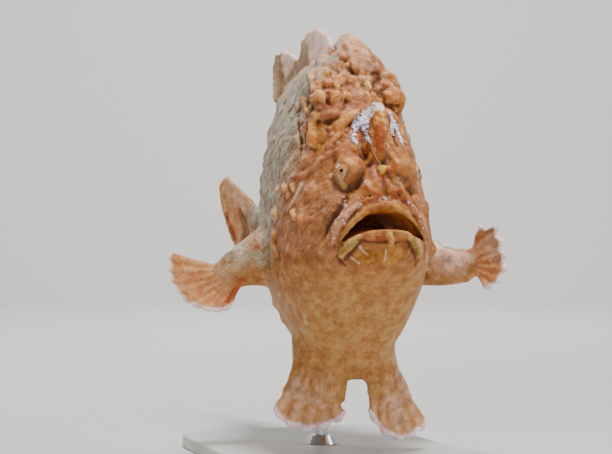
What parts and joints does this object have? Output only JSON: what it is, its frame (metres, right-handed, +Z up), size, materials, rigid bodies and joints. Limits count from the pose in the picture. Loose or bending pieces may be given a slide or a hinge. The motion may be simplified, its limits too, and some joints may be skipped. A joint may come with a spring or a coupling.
{
  "type": "frogfish",
  "caption": "Life-size still frogfish, facing forward with arm-like side fins spread and leg-like fins hanging, held over a flat base by a short rod.",
  "frame": {"origin": "centre of the stand's underside, on the floor", "axes": "the fish faces -Y with its tail towards +Y, +X is the fish's left side, +Z is up"},
  "size_m": [0.1867, 0.2913, 0.2621],
  "materials": {
    "skin": "matt, warty orange-brown skin",
    "fin": "orange fins with raised rays and pale pink scalloped margins",
    "eye": "glossy brown eye with pale lines round a dark pupil",
    "lure": "pale frilled lure",
    "stand_plate": "pale grey powder coat on steel",
    "stand_steel": "brushed steel rod and collar"
  },
  "bodies": {
    "root": {"head": "skin", "lower_jaw": "skin", "torso": "skin", "tail_stem": "skin", "pectoral_arm_right": "skin", "pectoral_arm_left": "skin", "pelvic_leg_right": "skin", "pelvic_leg_left": "skin", "dorsal_spine_second": "skin", "dorsal_spine_third": "skin", "pectoral_fin_right": "fin", "pectoral_fin_left": "fin", "pelvic_fin_right": "fin", "pelvic_fin_left": "fin", "soft_dorsal_fin": "fin", "anal_fin": "fin", "caudal_fin": "fin", "eye_right": "eye", "eye_left": "eye", "illicium": "lure", "stand_base": "stand_plate", "stand_collar": "stand_steel", "stand_rod": "stand_steel"}
  },
  "joints": []
}
